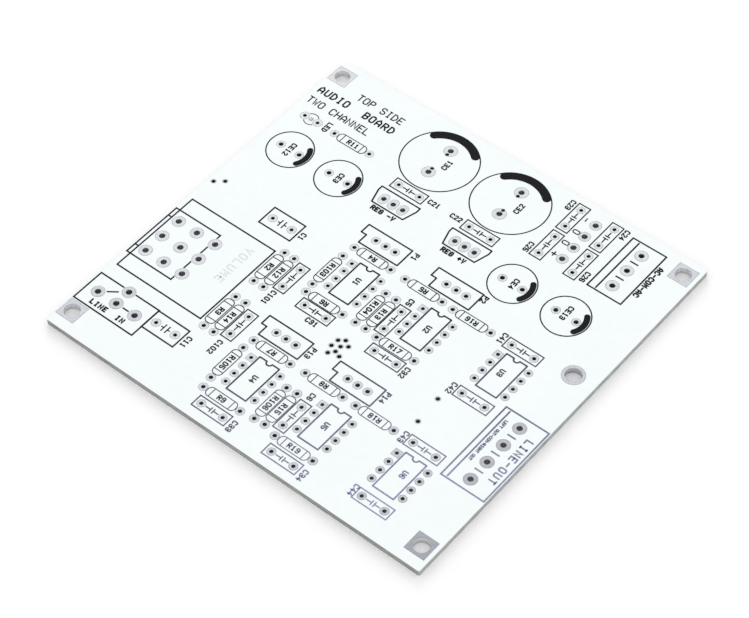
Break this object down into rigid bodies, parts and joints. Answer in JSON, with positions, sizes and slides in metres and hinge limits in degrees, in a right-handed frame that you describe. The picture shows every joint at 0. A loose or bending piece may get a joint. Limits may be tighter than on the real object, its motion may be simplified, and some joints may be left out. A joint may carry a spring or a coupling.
{
  "type": "amplifier circuit board",
  "caption": "Bare two-sided circuit board for a stereo audio amplifier, white solder mask, tinned plated holes, printed component outlines and square corner fixing pads.",
  "frame": {"origin": "middle of the board's outline, on the lower face that it rests on", "axes": "+X along the front edge to the side with the output terminal, +Y to the back, +Z out of the printed face"},
  "size_m": [0.0966, 0.094, 0.0016],
  "materials": {
    "laminate": "sawn glass-fibre laminate, olive brown at the edge",
    "solder_mask": "glossy white solder mask",
    "tin": "hot-levelled tin on copper, bright at the hole and greyer at the rim",
    "ink": "matt black screen-printed ink"
  },
  "bodies": {
    "root": {"laminate": "laminate", "top_solder_mask": "solder_mask", "bottom_solder_mask": "solder_mask", "corner_mount_pads": "tin", "edge_mount_pad": "tin", "vias": "tin", "op_amp_pads": "tin", "trimmer_pads": "tin", "resistor_pads": "tin", "capacitor_pads": "tin", "film_capacitor_pads": "tin", "small_electrolytic_pads": "tin", "large_electrolytic_pads": "tin", "regulator_pads": "tin", "lamp_pads": "tin", "supply_pads": "tin", "ac_terminal_pads": "tin", "output_terminal_pads": "tin", "input_pads": "tin", "volume_pads": "tin", "op_amp_outlines": "ink", "trimmer_outlines": "ink", "resistor_outlines": "ink", "capacitor_outlines": "ink", "small_electrolytic_outlines": "ink", "large_electrolytic_outlines": "ink", "regulator_outlines": "ink", "lamp_outline": "ink", "ac_terminal_outline": "ink", "output_terminal_outline": "ink", "input_outlines": "ink", "volume_outline": "ink"}
  },
  "joints": []
}
